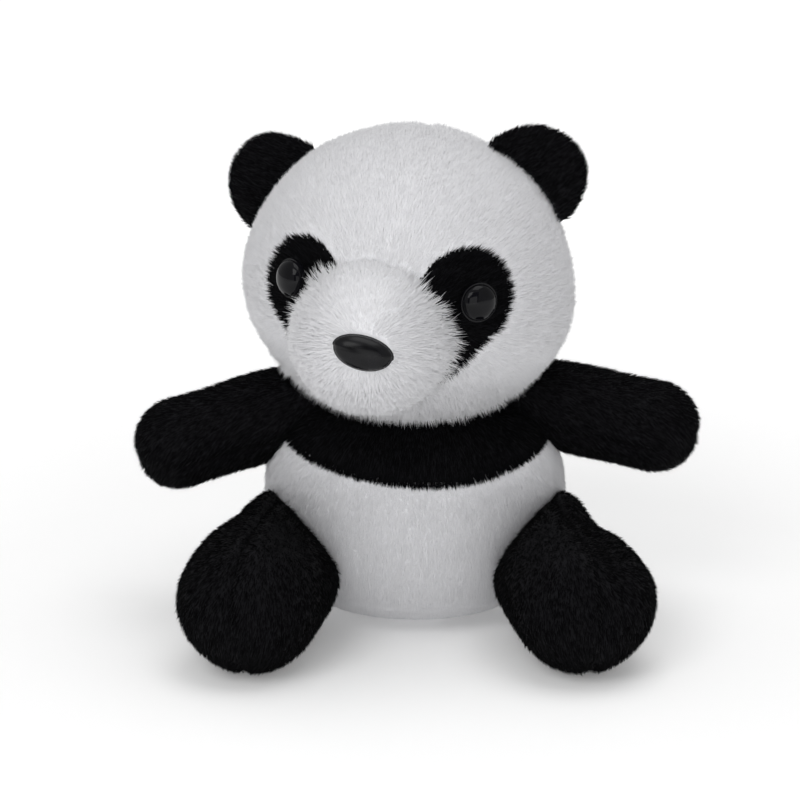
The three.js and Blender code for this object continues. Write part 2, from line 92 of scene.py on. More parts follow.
def node(tree, kind, **values):
    made = tree.nodes.new(kind)
    for name, value in values.items():
        if name in made.inputs:
            made.inputs[name].default_value = value
        else:
            setattr(made, name, value)
    return made


def start_material(name, roughness, sheen=0.0, specular=0.5):
    material = bpy.data.materials.new(name)
    material.use_nodes = True
    shader = material.node_tree.nodes["Principled BSDF"]
    shader.inputs["Roughness"].default_value = roughness
    shader.inputs["Sheen Weight"].default_value = sheen
    shader.inputs["Sheen Roughness"].default_value = 0.45
    shader.inputs["Specular IOR Level"].default_value = specular
    return material, material.node_tree, shader


def woven_backing(name, light, dark, sheen):
    """The dyed backing that the pile stands in: mottled, with fine rows of tufts."""
    material, tree, shader = start_material(name, 0.9, sheen, 0.2)
    place = node(tree, "ShaderNodeTexCoord")
    mottle = node(tree, "ShaderNodeTexNoise", Scale=260.0, Detail=4.0, Roughness=0.6)
    tufts = node(tree, "ShaderNodeTexNoise", Scale=1900.0, Detail=3.0, Roughness=0.7)
    both = node(tree, "ShaderNodeMath", operation="ADD")
    ramp = node(tree, "ShaderNodeValToRGB")
    ramp.color_ramp.elements[0].position = 0.35
    ramp.color_ramp.elements[1].position = 0.7
    ramp.color_ramp.elements[0].color = (*dark, 1)
    ramp.color_ramp.elements[1].color = (*light, 1)
    half = node(tree, "ShaderNodeMath", operation="MULTIPLY")
    half.inputs[1].default_value = 0.5
    bump = node(tree, "ShaderNodeBump", Strength=0.5, Distance=0.0004)
    link = tree.links.new
    link(place.outputs["Object"], mottle.inputs["Vector"])
    link(place.outputs["Object"], tufts.inputs["Vector"])
    link(mottle.outputs["Fac"], both.inputs[0])
    link(tufts.outputs["Fac"], both.inputs[1])
    link(both.outputs[0], half.inputs[0])
    link(half.outputs[0], ramp.inputs["Fac"])
    link(ramp.outputs["Color"], shader.inputs["Base Color"])
    link(tufts.outputs["Fac"], bump.inputs["Height"])
    link(bump.outputs["Normal"], shader.inputs["Normal"])
    return material


def fibre(name, colour, roughness, sheen, specular):
    """One shade of pile, a little duller in some patches and silkier in others."""
    material, tree, shader = start_material(name, roughness, sheen, specular)
    shader.inputs["Base Color"].default_value = (*colour, 1)
    place = node(tree, "ShaderNodeTexCoord")
    patchy = node(tree, "ShaderNodeTexNoise", Scale=320.0, Detail=2.0)
    spread = node(tree, "ShaderNodeMapRange")
    spread.inputs["To Min"].default_value = roughness - 0.12
    spread.inputs["To Max"].default_value = roughness + 0.12
    tree.links.new(place.outputs["Object"], patchy.inputs["Vector"])
    tree.links.new(patchy.outputs["Fac"], spread.inputs["Value"])
    tree.links.new(spread.outputs["Result"], shader.inputs["Roughness"])
    return material


def moulded_plastic(name, colour, roughness, specular=0.5):
    """Moulded plastic: a faint flow mottle in the colour and a barely uneven polish."""
    material, tree, shader = start_material(name, roughness, 0.0, specular)
    place = node(tree, "ShaderNodeTexCoord")
    flow = node(tree, "ShaderNodeTexNoise", Scale=420.0, Detail=3.0)
    grain = node(tree, "ShaderNodeTexNoise", Scale=1500.0, Detail=2.0)
    ramp = node(tree, "ShaderNodeValToRGB")
    ramp.color_ramp.elements[0].position = 0.3
    ramp.color_ramp.elements[1].position = 0.75
    ramp.color_ramp.elements[0].color = (*[c * 0.6 for c in colour], 1)
    ramp.color_ramp.elements[1].color = (*[c * 1.5 for c in colour], 1)
    bump = node(tree, "ShaderNodeBump", Strength=0.06, Distance=0.0001)
    link = tree.links.new
    link(place.outputs["Object"], flow.inputs["Vector"])
    link(place.outputs["Object"], grain.inputs["Vector"])
    link(flow.outputs["Fac"], ramp.inputs["Fac"])
    link(ramp.outputs["Color"], shader.inputs["Base Color"])
    link(grain.outputs["Fac"], bump.inputs["Height"])
    link(bump.outputs["Normal"], shader.inputs["Normal"])
    return material


WHITE_BACKING = woven_backing("white plush backing", (0.86, 0.86, 0.88), (0.76, 0.76, 0.785), 0.2)
BLACK_BACKING = woven_backing("black plush backing", (0.007, 0.007, 0.009), (0.003, 0.003, 0.004), 0.02)
WHITE_PILE = [
    fibre("white pile bright", (0.90, 0.90, 0.92), 0.85, 0.2, 0.1),
    fibre("white pile plain", (0.87, 0.87, 0.892), 0.85, 0.2, 0.1),
    fibre("white pile shaded", (0.83, 0.83, 0.855), 0.85, 0.2, 0.1),
]
BLACK_PILE = [
    fibre("black pile deep", (0.0015, 0.0015, 0.002), 0.8, 0.005, 0.05),
    fibre("black pile plain", (0.0025, 0.0025, 0.0032), 0.75, 0.01, 0.06),
    fibre("black pile silky", (0.005, 0.005, 0.0065), 0.7, 0.015, 0.10),
]
PLASTIC = moulded_plastic("nose plastic", (0.004, 0.004, 0.005), 0.26, 0.2)
WASHER_PLASTIC = moulded_plastic("washer plastic", (0.5, 0.5, 0.47), 0.4)
THREAD = woven_backing("sewing thread", (0.02, 0.02, 0.02), (0.008, 0.008, 0.009), 0.1)
EYE_PLASTIC = moulded_plastic("eye plastic", (0.003, 0.003, 0.004), 0.06, 0.16)


# ---------------------------------------------------------------- skins


class Surface:
    """A closed soft form: its points, its outward normals and its four-sided faces."""

    def __init__(self, points, quads):
        self.points = points
        self.quads = quads
        self.normals = self.measure_normals()

    def measure_normals(self):
        p = self.points
        a, b, c, d = [p[self.quads[:, i]] for i in range(4)]
        flat = np.cross(c - a, d - b)
        total = np.zeros_like(p)
        for i in range(4):
            np.add.at(total, self.quads[:, i], flat)
        return unit(total)

    def middles(self):
        return self.points[self.quads].mean(1)


def as_is(points):
    return points


def ball_surface(form, rings, place=as_is):
    """A cube blown up to a ball, so that it has no poles, then shaped by form and put in place."""
    steps = np.tan(np.linspace(-1, 1, rings + 1) * np.pi / 4)
    u, v = np.meshgrid(steps, steps, indexing="ij")
    one = np.ones_like(u)
    sheets = [(one, u, v), (-one, v, u), (v, one, u), (u, -one, v), (u, v, one), (v, u, -one)]
    points = np.concatenate([np.stack(s, -1).reshape(-1, 3) for s in sheets])
    n = rings + 1
    i, j = np.meshgrid(np.arange(rings), np.arange(rings), indexing="ij")
    corner = (i * n + j).ravel()
    quad = np.stack([corner, corner + n, corner + n + 1, corner + 1], 1)
    quads = np.concatenate([quad + k * n * n for k in range(6)])
    key = np.round(points * 1e6).astype(np.int64)
    _, first, inverse = np.unique(key, axis=0, return_index=True, return_inverse=True)
    points = unit(points[first])
    quads = inverse.reshape(-1)[quads]
    surface = Surface(place(form(points)), quads)
    if dot(surface.normals, surface.points - surface.points.mean(0)).mean() < 0:
        surface = Surface(surface.points, quads[:, ::-1])
    return surface


def new_object(name, points, faces, materials, choice=None):
    mesh = bpy.data.meshes.new(name)
    sides = faces.shape[1]
    mesh.vertices.add(len(points))
    mesh.vertices.foreach_set("co", points.astype(np.float32).ravel())
    mesh.loops.add(faces.size)
    mesh.loops.foreach_set("vertex_index", faces.astype(np.int32).ravel())
    mesh.polygons.add(len(faces))
    mesh.polygons.foreach_set("loop_start", np.arange(0, faces.size, sides, dtype=np.int32))
    mesh.polygons.foreach_set("use_smooth", np.ones(len(faces), bool))
    for material in materials:
        mesh.materials.append(material)
    if choice is not None:
        mesh.polygons.foreach_set("material_index", choice.astype(np.int32))
    mesh.update(calc_edges=True)
    mesh.validate()
    made = bpy.data.objects.new(name, mesh)
    bpy.context.scene.collection.objects.link(made)
    return made


def panel(name, surface, inside, material, thickness=1.2 * MM):
    """A closed cut of cover: the faces of a form that a test picks, with a back and an edge."""
    quads = surface.quads[inside(surface.middles())]
    used, quads = np.unique(quads, return_inverse=True)
    quads = quads.reshape(-1, 4)
    front = surface.points[used]
    back = front - surface.normals[used] * thickness
    count = len(used)
    edges = np.concatenate([quads[:, [i, (i + 1) % 4]] for i in range(4)])
    low, high = edges.min(1), edges.max(1)
    _, where, times = np.unique(low * count + high, return_inverse=True, return_counts=True)
    rim = edges[times[where.reshape(-1)] == 1]
    sides = np.stack([rim[:, 1], rim[:, 0], rim[:, 0] + count, rim[:, 1] + count], 1)
    faces = np.concatenate([quads, quads[:, ::-1] + count, sides])
    return new_object(name, np.concatenate([front, back]), faces, [material])


# ---------------------------------------------------------------- pile

STRAND = 0.24 * MM
ROOT_DEPTH = 0.25 * MM
TUFT = 2.2 * MM
FINE_TUFT = 0.8 * MM
STRAY = 0.08
FLUFF = 0.25
SHADE_SHARES = [0.4, 0.4, 0.2]


def scatter(surface, inside, per_mm2):
    """Even random roots over the faces that a test picks, with their normals."""
    quads = surface.quads
    triangles = np.concatenate([quads[:, [0, 1, 2]], quads[:, [0, 2, 3]]])
    a, b, c = [surface.points[triangles[:, i]] for i in range(3)]
    area = np.linalg.norm(np.cross(b - a, c - a), axis=1) / 2
    count = int(area.sum() / MM**2 * per_mm2 * PILE_SHARE)
    picked = random.choice(len(triangles), count, p=area / area.sum())
    u, v = random.random((2, count, 1))
    u, v = np.where(u + v > 1, 1 - u, u), np.where(u + v > 1, 1 - v, v)
    at = [surface.points[triangles[picked, i]] for i in range(3)]
    to = [surface.normals[triangles[picked, i]] for i in range(3)]
    roots = at[0] + u * (at[1] - at[0]) + v * (at[2] - at[0])
    normals = unit(to[0] + u * (to[1] - to[0]) + v * (to[2] - to[0]))
    kept = inside(roots)
    return roots[kept], normals[kept]


def pile(name, roots, normals, flow, length, slant, shades, bend=0.0, tufty=0.12):
    """Closed three-sided strands. flow is the way the pile is brushed and slant how far it lies over."""
    count = len(roots)
    flow = unit(flow - normals * dot(flow, normals)[:, None])
    tuft = np.stack([waves(roots, TUFT, 3 + k) for k in range(3)], 1)
    fine = np.stack([waves(roots, FINE_TUFT, 11 + k) for k in range(3)], 1)
    along = unit(
        normals * np.cos(slant)[:, None]
        + flow * np.sin(slant)[:, None]
        + tuft * tufty
        + fine * tufty
        + random.normal(size=(count, 3)) * STRAY
    )
    length = length * random.uniform(0.72, 1.12, count)
    width = STRAND * random.uniform(0.75, 1.25, count)
    spin = random.uniform(0, 2 * np.pi, count)
    side = unit(np.cross(along, np.where(np.abs(along[:, :1]) < 0.8, [[1.0, 0, 0]], [[0, 1.0, 0]])))
    other = np.cross(along, side)

    def ring(middle, radius):
        corners = []
        for k in range(3):
            angle = (spin + k * 2 * np.pi / 3)[:, None]
            corners.append(middle + radius[:, None] * (side * np.cos(angle) + other * np.sin(angle)))
        return corners

    base = roots - normals * ROOT_DEPTH
    half = width / 2
    rows = ring(base, half)
    if bend:
        curl = unit(along + flow * bend + fine * 0.2)
        middle = base + along * (length * 0.5)[:, None]
        rows += ring(middle, half * 0.8)
        tip = middle + curl * (length * 0.5)[:, None]
        faces = [
            (0, 2, 1), (0, 1, 4), (0, 4, 3), (1, 2, 5), (1, 5, 4), (2, 0, 3), (2, 3, 5),
            (3, 4, 6), (4, 5, 6), (5, 3, 6),
        ]
    else:
        tip = base + along * length[:, None]
        faces = [(0, 2, 1), (0, 1, 3), (1, 2, 3), (2, 0, 3)]
    points = np.stack([*rows, tip], 1)
    corners = points.shape[1]
    # Light scatters from strand to strand, so they are lit mostly as the form under them is.
    centre = points.mean(1, keepdims=True)
    lit = unit(unit(points - centre) * FLUFF + (normals + along * FLUFF)[:, None])
    triangles = (np.arange(count) * corners)[:, None, None] + np.array(faces)[None]
    shade = random.choice(len(shades), count, p=SHADE_SHARES)
    choice = np.repeat(shade, len(faces))
    made = new_object(name, points.reshape(-1, 3), triangles.reshape(-1, 3), shades, choice)
    made.data.normals_split_custom_set_from_vertices(lit.reshape(-1, 3))
    return made


# ---------------------------------------------------------------- head

HEAD_AT = np.array(JOINTS["neck_turn"]["pos_m"])
NOD_AXIS = JOINTS["neck_nod"]["axis"]
HEAD_TURN = math.degrees(math.atan2(NOD_AXIS[1], NOD_AXIS[0]))
HEAD_LEAN = 4.5
HEAD_SPIN = turn("Z", HEAD_TURN) @ turn("Y", HEAD_LEAN)
HEAD_HALF = np.array([42, 37, 37]) * MM
CHEEK = 0.05
CROWN_SEAM = 4 * MM
BACKING = 1.5 * MM
MUZZLE_AT = np.array([-2, -35, -9.5]) * MM
MUZZLE_HALF = np.array([18.5, 19, 17.5]) * MM
MINGLE = 2.2 * MM
BLEND = {"plain": 5.5, "chin": 3.0, "bridge": 13.0}
PATCH = {
    "half_width": 11.2, "half_height": 12.8, "azimuth": 31, "tilt": 34,
    "tip": 12, "taper": 0.12, "reach": 20,
}
FAR_OFF = 9.0
PATCH_HEIGHT = {"left": 1.6, "right": -0.6}
EYE = {
    "radius": 4.75, "dome": 3.3, "rim": 0.9, "lip": 0.925, "shank": 1.5,
    "azimuth": 36.5, "height": 2.2, "outward": 8, "sink": 0.7,
}
SHANK_LENGTH = 8
NOSE = {
    "half_width": 7.3, "half_height": 4.1, "dome": 3.7, "rim": 0.8, "lip": 0.97, "shank": 2,
    "height": -7.0, "azimuth": 8, "roll": -10, "sink": 1.5,
}


def to_head(points):
    return (points - HEAD_AT) @ HEAD_SPIN


def from_head(points):
    return points @ HEAD_SPIN.T + HEAD_AT


def reach_of(directions, half, at=np.zeros(3)):
    """How far from the head's middle each ray leaves an ellipsoid, and zero where it misses."""
    d, c = directions / half, at / half
    square, cross = dot(d, d), d @ c
    under = cross**2 - square * (dot(c, c) - 1)
    return np.where(under > 0, (cross + np.sqrt(np.maximum(under, 0))) / square, 0)


def muzzle_lead(local):
    """How much further than the head's own form the muzzle's form reaches, in metres."""
    d = unit(local)
    return reach_of(d, MUZZLE_HALF, MUZZLE_AT) - reach_of(d, HEAD_HALF)


def head_form(directions, inset=0.0):
    """Head and muzzle as one stuffed form: the fabric bridges the corner between the two."""
    skull = reach_of(directions, HEAD_HALF)
    muzzle = reach_of(directions, MUZZLE_HALF, MUZZLE_AT)
    bridge = smooth(directions[:, 2], -0.2, 0.1) * np.exp(-(((directions[:, 0] + 0.05) / 0.3) ** 2))
    chin = smooth(-directions[:, 2], 0.2, 0.6)
    blend = (BLEND["plain"] + BLEND["chin"] * chin + BLEND["bridge"] * bridge) * MM
    near = np.maximum(blend - np.abs(skull - muzzle), 0) / blend
    reach = np.maximum(skull, muzzle) + near**2 * blend * 0.25
    p = directions * reach[:, None]
    t = np.clip(p[:, 2] / HEAD_HALF[2], -1, 1)
    ahead = smooth(-p[:, 1], 34 * MM, 44 * MM)
    p[:, 0] *= 1 - CHEEK * t * (1 - t * t) * 2 * (1 - ahead)
    # Stuffing lies a little unevenly, and the seams pull the cover in.
    seam = np.exp(-(((p[:, 1] - CROWN_SEAM) / (1.6 * MM)) ** 2))
    middle = np.exp(-((p[:, 0] / (1.6 * MM)) ** 2)) * (p[:, 1] > CROWN_SEAM)
    cleft = np.exp(-((p[:, 0] / (3 * MM)) ** 2)) * smooth(-p[:, 2], 15 * MM, 22 * MM) * ahead
    lumps = waves(p, 34 * MM, 5) * 0.35 * MM
    pull = 0.7 * MM * np.maximum(seam, middle) + 0.6 * MM * cleft
    return p + directions * (lumps - pull - inset)[:, None]


def on_head(azimuth, height, half=HEAD_HALF):
    """A frame on the head: its columns are across, up and out, and then its place."""
    a = math.radians(azimuth)
    flat = math.sqrt(1 - (height / half[2]) ** 2)
    ray = 1 / math.hypot(math.sin(a) / half[0], math.cos(a) / half[1])
    at = np.array([ray * math.sin(a) * flat, -ray * math.cos(a) * flat, height])
    out = unit(at / half**2)
    across = unit(np.cross([0, 0, 1], out))
    return np.stack([across, np.cross(out, across), out], 1), at


def in_patch(local, side):
    """How far inside (negative) a point of the head is from the outline of an eye patch."""
    axes, at = on_head(SIDES[side] * PATCH["azimuth"], PATCH_HEIGHT[side] * MM)
    p = (local - at) @ axes / MM
    tilt = math.radians(-SIDES[side] * PATCH["tilt"])
    x = p[:, 0] * math.cos(tilt) + p[:, 1] * math.sin(tilt)
    y = -p[:, 0] * math.sin(tilt) + p[:, 1] * math.cos(tilt)
    angle = np.arctan2(y / PATCH["half_height"], x / PATCH["half_width"])
    down = np.maximum(-np.sin(angle), 0)
    edge_x = PATCH["half_width"] * np.cos(angle) * (1 - PATCH["taper"] * down)
    edge_y = PATCH["half_height"] * np.sin(angle) - PATCH["tip"] * down**3
    # The far side of the head is never in the patch.
    near = p[:, 2] > -PATCH["reach"]
    return np.where(near, np.hypot(x, y) - np.hypot(edge_x, edge_y), FAR_OFF)


def off_line(local):
    """How far outside the nearer eye patch's outline a point is, in millimetres."""
    return np.minimum(in_patch(local, "left"), in_patch(local, "right"))


head_skin = ball_surface(partial(head_form, inset=BACKING), 60, from_head)


def is_patch(side):
    def test(points):
        local = to_head(points)
        return (in_patch(local, side) < 0) & (muzzle_lead(local) < 0)

    return test


def is_face(points):
    local = to_head(points)
    return (local[:, 1] < CROWN_SEAM) & (off_line(local) >= 0) & (muzzle_lead(local) < 0)


def is_furred_face(side):
    def test(points):
        local = to_head(points)
        white = ~mixed(local) & (off_line(local) >= 0)
        return (local[:, 1] < CROWN_SEAM) & white & (local[:, 0] * SIDES[side] >= 0)

    return test


def is_back(side):
    def test(points):
        local = to_head(points)
        return (local[:, 1] >= CROWN_SEAM) & (local[:, 0] * SIDES[side] >= 0)

    return test


def off_patches(local):
    """One where the muzzle meets the white face, and zero where it meets a black patch."""
    return smooth(off_line(local), 0.5, 5)


def mixed(local):
    """Whether each root belongs to the muzzle: the two white piles mingle where they meet."""
    stray = random.normal(size=local.shape) * MINGLE * off_patches(local)[:, None]
    return muzzle_lead(local + stray) >= 0


def is_furred_muzzle(points):
    return mixed(to_head(points))


def is_muzzle(points):
    return muzzle_lead(to_head(points)) >= 0


def head_flow(local):
    """The head's pile is brushed away from the nose, and hangs below the cheeks."""
    away = local - np.array([0, -60, -12]) * MM
    hang = smooth(-local[:, 2], 5 * MM, 30 * MM)[:, None] * np.array([0, 0, -1.2])
    return unit(away) + hang


def add_head_pile(name, test, per_mm2, length, slant, shades):
    roots, normals = scatter(head_skin, test, per_mm2)
    local = to_head(roots)
    # Strands that would stand inside an eye are left out.
    clear = np.ones(len(roots), bool)
    for side in SIDES:
        _, at = on_head(SIDES[side] * EYE["azimuth"], EYE["height"] * MM)
        clear &= np.linalg.norm(local - at, axis=1) > (EYE["radius"] + 0.1) * MM
    roots, normals, local = roots[clear], normals[clear], local[clear]
    flow = head_flow(local) @ HEAD_SPIN.T
    # White pile is clipped short beside a patch, and all pile grows longer towards the chin.
    short = np.ones(len(roots))
    if shades is WHITE_PILE:
        short = 0.55 + 0.45 * smooth(off_line(local), 0, 3)
    low = smooth(-local[:, 2], 18 * MM, 30 * MM)
    ramp = np.full(len(roots), slant) - 0.3 * low
    length = length * (1 + 0.8 * low)
    tufty = (0.12 if shades is WHITE_PILE else 0.2) + 0.3 * low[:, None]
    made = pile(name, roots, normals, flow, length * short, ramp, shades, tufty=tufty)
    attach(made, "head")
    return made


def build_head():
    front = panel("head_front_skin", head_skin, is_face, WHITE_BACKING)
    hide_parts("head_front_cover", "head_stuffing")
    pieces = [(front, "white_plush")]
    for side in SIDES:
        back = panel(f"head_back_skin_{side}", head_skin, is_back(side), WHITE_BACKING)
        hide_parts(f"head_back_cover_{side}")
        patch = panel(f"eye_patch_skin_{side}", head_skin, is_patch(side), BLACK_BACKING)
        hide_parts(f"eye_patch_{side}")
        pieces += [(back, "white_plush"), (patch, "black_plush")]
    muzzle = panel("muzzle_skin", head_skin, is_muzzle, WHITE_BACKING)
    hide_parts("muzzle_cover")
    pieces.append((muzzle, "white_plush"))
    for piece, slot in pieces:
        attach(piece, "head")
    for side in SIDES:
        for name, test, per_mm2, slant, shades, slot in (
            ("face_pile", is_furred_face(side), 10.0, 1.08, WHITE_PILE, "white_plush"),
            ("back_pile", is_back(side), 6.0, 1.08, WHITE_PILE, "white_plush"),
            ("patch_pile", is_patch(side), 14.0, 0.95, BLACK_PILE, "black_plush"),
        ):
            made = add_head_pile(f"{name}_{side}", test, per_mm2, 2.6 * MM, slant, shades)


def build_muzzle_pile():
    """Long pile brushed away from the nose, longest where it hangs over the patches."""
    roots, normals = scatter(head_skin, is_furred_muzzle, 7.8)
    local = to_head(roots)
    _, nose_at = on_head(NOSE["azimuth"], NOSE["height"] * MM - MUZZLE_AT[2], MUZZLE_HALF)
    nose_at = nose_at + MUZZLE_AT
    from_nose = local - nose_at
    clear = np.hypot(from_nose[:, 0] / 1.5, from_nose[:, 2]) > 3.6 * MM
    clear |= from_nose[:, 1] > 6 * MM
    roots, normals, local, from_nose = [x[clear] for x in (roots, normals, local, from_nose)]
    flow = unit(from_nose) + np.array([0, 0, -0.15])
    near = np.linalg.norm(from_nose, axis=1)
    edge = 1 - smooth(muzzle_lead(local), 0, 5 * MM)
    brow = smooth(local[:, 2], -6 * MM, 4 * MM)
    grown = smooth(near, 4 * MM, 14 * MM) + 2.4 * edge
    bridge = off_patches(local) * brow
    length = (2.5 + grown * (1 - bridge)) * MM
    slant = 1.12 - 0.12 * edge * (1 - brow) + 0.12 * bridge
    tufty = 0.15 + 0.2 * edge[:, None]
    made = pile(
        "muzzle_pile", roots, normals, flow @ HEAD_SPIN.T, length, slant, WHITE_PILE, bend=0.2, tufty=tufty
    )
    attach(made, "head")


# ---------------------------------------------------------------- eyes and nose


def pick_faces(piece, up):
    """Selects, in edit mode, only the faces that look along or against the piece's own Z."""
    bpy.ops.mesh.select_all(action="DESELECT")
    body = bmesh.from_edit_mesh(piece.data)
    for face in body.faces:
        face.select_set(face.normal.z * up > 0.9)
    bmesh.update_edit_mesh(piece.data)


def pick_half(piece, up):
    """Selects, in edit mode, only the corners in the upper or lower half, along the piece's Y."""
    bpy.ops.mesh.select_all(action="DESELECT")
    body = bmesh.from_edit_mesh(piece.data)
    for corner in body.verts:
        corner.select_set(corner.co.y * up > 1e-7)
    body.select_flush(True)
    bmesh.update_edit_mesh(piece.data)


def domed_button(name, radius, shape, material):
    """A moulded dome on a rimmed disc, with the shank that goes through the cloth behind it."""
    radius, dome, shank, rim = [v * MM for v in (radius, shape["dome"], shape["shank"], shape["rim"])]
    bpy.ops.object.select_all(action="DESELECT")
    bpy.ops.mesh.primitive_cylinder_add(vertices=64, radius=radius, depth=rim, location=(0, 0, rim / 2))
    bpy.ops.object.transform_apply(location=True)
    made = bpy.context.object
    made.name = made.data.name = name
    bpy.ops.object.mode_set(mode="EDIT")
    bpy.ops.mesh.select_mode(type="FACE")
    pick_faces(made, 1)
    bpy.ops.mesh.inset(thickness=radius * (1 - shape["lip"]))
    steps = 14
    wide, high = 1.0, 0.0
    for k in range(1, steps):
        angle = math.pi / 2 * k / steps
        rise = (dome - rim) * (math.sin(angle) - high)
        bpy.ops.mesh.extrude_region_move(TRANSFORM_OT_translate={"value": (0, 0, rise)})
        scale = math.cos(angle) / wide
        bpy.ops.transform.resize(value=(scale, scale, 1), center_override=(0, 0, 0))
        wide, high = math.cos(angle), math.sin(angle)
    rise = (dome - rim) * (1 - high)
    bpy.ops.mesh.extrude_region_move(TRANSFORM_OT_translate={"value": (0, 0, rise)})
    bpy.ops.mesh.merge(type="CENTER")
    pick_faces(made, -1)
    bpy.ops.mesh.inset(thickness=radius - shank)
    bpy.ops.mesh.extrude_region_move(TRANSFORM_OT_translate={"value": (0, 0, -SHANK_LENGTH * MM)})
    bpy.ops.object.mode_set(mode="OBJECT")
    bpy.ops.object.shade_smooth_by_angle(angle=math.radians(40))
    made.data.materials.append(material)
    return made


def set_in_head(made, axes, at):
    """Puts a button in its place on the head, with the place in its mesh."""
    spin = Matrix((HEAD_SPIN @ axes).tolist())
    made.matrix_world = Matrix.Translation(Vector(from_head(at[None])[0])) @ spin.to_4x4()
    bpy.ops.object.select_all(action="DESELECT")
    made.select_set(True)
    bpy.context.view_layer.objects.active = made
    bpy.ops.object.transform_apply(location=True, rotation=True, scale=True)
    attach(made, "head")


def build_eyes_and_nose():
    for side in SIDES:
        eye = domed_button(f"safety_eye_{side}", EYE["radius"], EYE, EYE_PLASTIC)
        axes, at = on_head(SIDES[side] * EYE["azimuth"], EYE["height"] * MM)
        axes = axes @ turn("Y", SIDES[side] * EYE["outward"])
        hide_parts(f"eye_{side}")
        set_in_head(eye, axes, at - axes[:, 2] * EYE["sink"] * MM)
    nose = domed_button("safety_nose", NOSE["half_width"], NOSE, PLASTIC)
    bpy.ops.object.mode_set(mode="EDIT")
    bpy.ops.mesh.select_mode(type="VERT")
    for up, narrow, tall in ((1, 1.0, 0.91), (-1, 0.96, 1.07)):
        pick_half(nose, up)
        ratio = NOSE["half_height"] / NOSE["half_width"] * tall
        bpy.ops.transform.resize(value=(narrow, ratio, 1), center_override=(0, 0, 0))
    bpy.ops.object.mode_set(mode="OBJECT")
    axes, at = on_head(NOSE["azimuth"], NOSE["height"] * MM - MUZZLE_AT[2], MUZZLE_HALF)
    axes = axes @ turn("Z", NOSE["roll"])
    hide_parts("nose")
    set_in_head(nose, axes, at + MUZZLE_AT - axes[:, 2] * NOSE["sink"] * MM)


# ---------------------------------------------------------------- torso

TORSO_HALF = np.array([39, 30.4]) * MM
TORSO_HEIGHT = 61 * MM
SEAT_RADIUS = 12 / 39
OUTLINE = [
    (0, 0), (SEAT_RADIUS, 0), (0.6, 0.03), (0.83, 0.12), (0.965, 0.28), (1, 0.47), (0.965, 0.67),
    (0.86, 0.81), (0.68, 0.92), (0.4, 0.985), (0, 1),
]
FULLNESS = 1.015
WIDEST = 0.47
NECK_BALL = 35.8 * MM
BAND_HEIGHT = 45.5 * MM
BAND_DIP = 4 * MM
BAND_TILT = 3
BAND_FRINGE = 1.6 * MM
BAND_RISE = {"left": 7, "right": 2.5}
SIDE_SEAM = 3 * MM
SEAT_WIDE = 14 * MM
SEAT_TALL = 10 * MM


def torso_form(directions, inset=0.0):
    """The torso's turned outline, smoothed, with the head's dimple in its top."""
    r, z = np.array(OUTLINE).T
    run = np.concatenate([[0], np.cumsum(np.hypot(np.diff(r), np.diff(z)))])
    fine = np.linspace(0, run[-1], 400)
    smooth_r, smooth_z = np.interp(fine, run, r), np.interp(fine, run, z)
    blur = 20
    kernel = np.hanning(2 * blur + 1)
    kernel = kernel / kernel.sum()
    padded_r = np.concatenate([-smooth_r[blur:0:-1], smooth_r, -smooth_r[-2:-2 - blur:-1]])
    padded_z = np.concatenate([smooth_z[blur:0:-1], smooth_z, smooth_z[-2:-2 - blur:-1]])
    smooth_r = np.convolve(padded_r, kernel, "valid")
    smooth_z = np.convolve(padded_z, kernel, "valid")
    smooth_z = (smooth_z - smooth_z.min()) / (smooth_z.max() - smooth_z.min())
    latitude = np.arccos(np.clip(-directions[:, 2], -1, 1)) / np.pi
    k = latitude * (len(fine) - 1)
    radius = np.interp(k, np.arange(len(fine)), smooth_r)
    height = np.interp(k, np.arange(len(fine)), smooth_z)
    around = unit(directions[:, :2] + 1e-9)
    half = TORSO_HALF * FULLNESS
    flat = around * radius[:, None] * half
    p = np.column_stack([flat, height * TORSO_HEIGHT])
    middle = np.array([0, 0, WIDEST * TORSO_HEIGHT])
    out = unit((p - middle) / np.array([half[0], half[1], TORSO_HEIGHT / 2]) ** 2)
    lumps = waves(p, 30 * MM, 8) * 0.4 * MM * smooth(p[:, 2], 4 * MM, 14 * MM)
    p = p + out * (lumps - inset)[:, None]
    from_head_middle = p - HEAD_AT
    reach = np.linalg.norm(from_head_middle, axis=1)
    inside = reach < NECK_BALL + inset
    p[inside] = HEAD_AT + from_head_middle[inside] * ((NECK_BALL + inset) / reach[inside])[:, None]
    return p


torso_skin = ball_surface(partial(torso_form, inset=BACKING), 48)


def outside_torso(points):
    """How far outside the torso's outline a point is, as a share of the torso's half width."""
    r, z = np.array(OUTLINE[1:]).T
    reach = np.interp(points[:, 2] / TORSO_HEIGHT, z, r)
    return np.hypot(points[:, 0] / TORSO_HALF[0], points[:, 1] / TORSO_HALF[1]) - reach


def above_band(points):
    """How far above the line where the black band meets the white body a point is."""
    dip = math.atan2(BAND_DIP, TORSO_HALF[1])
    normal = turn("X", math.degrees(dip)) @ turn("Y", BAND_TILT) @ np.array([0, 0, 1])
    across = points[:, 0] / TORSO_HALF[0]
    rise = np.where(across > 0, BAND_RISE["left"], BAND_RISE["right"]) * MM * across**2
    return (points - np.array([0, 0, BAND_HEIGHT])) @ normal - rise


def is_chest(points):
    return (above_band(points) > 0) & (points[:, 1] < SIDE_SEAM)


def is_shoulders(points):
    return (above_band(points) > 0) & (points[:, 1] >= SIDE_SEAM)


def edge_of(test):
    """The lowest strip of a band piece, just above the line where its cloth ends."""

    def on_edge(points):
        return test(points) & (above_band(points) < BAND_FRINGE)

    return on_edge


def is_seat(points):
    return (np.hypot(points[:, 0], points[:, 1]) < SEAT_WIDE) & (points[:, 2] < SEAT_TALL)


def is_belly(points):
    return (above_band(points) <= 0) & (points[:, 1] < SIDE_SEAM) & ~is_seat(points)


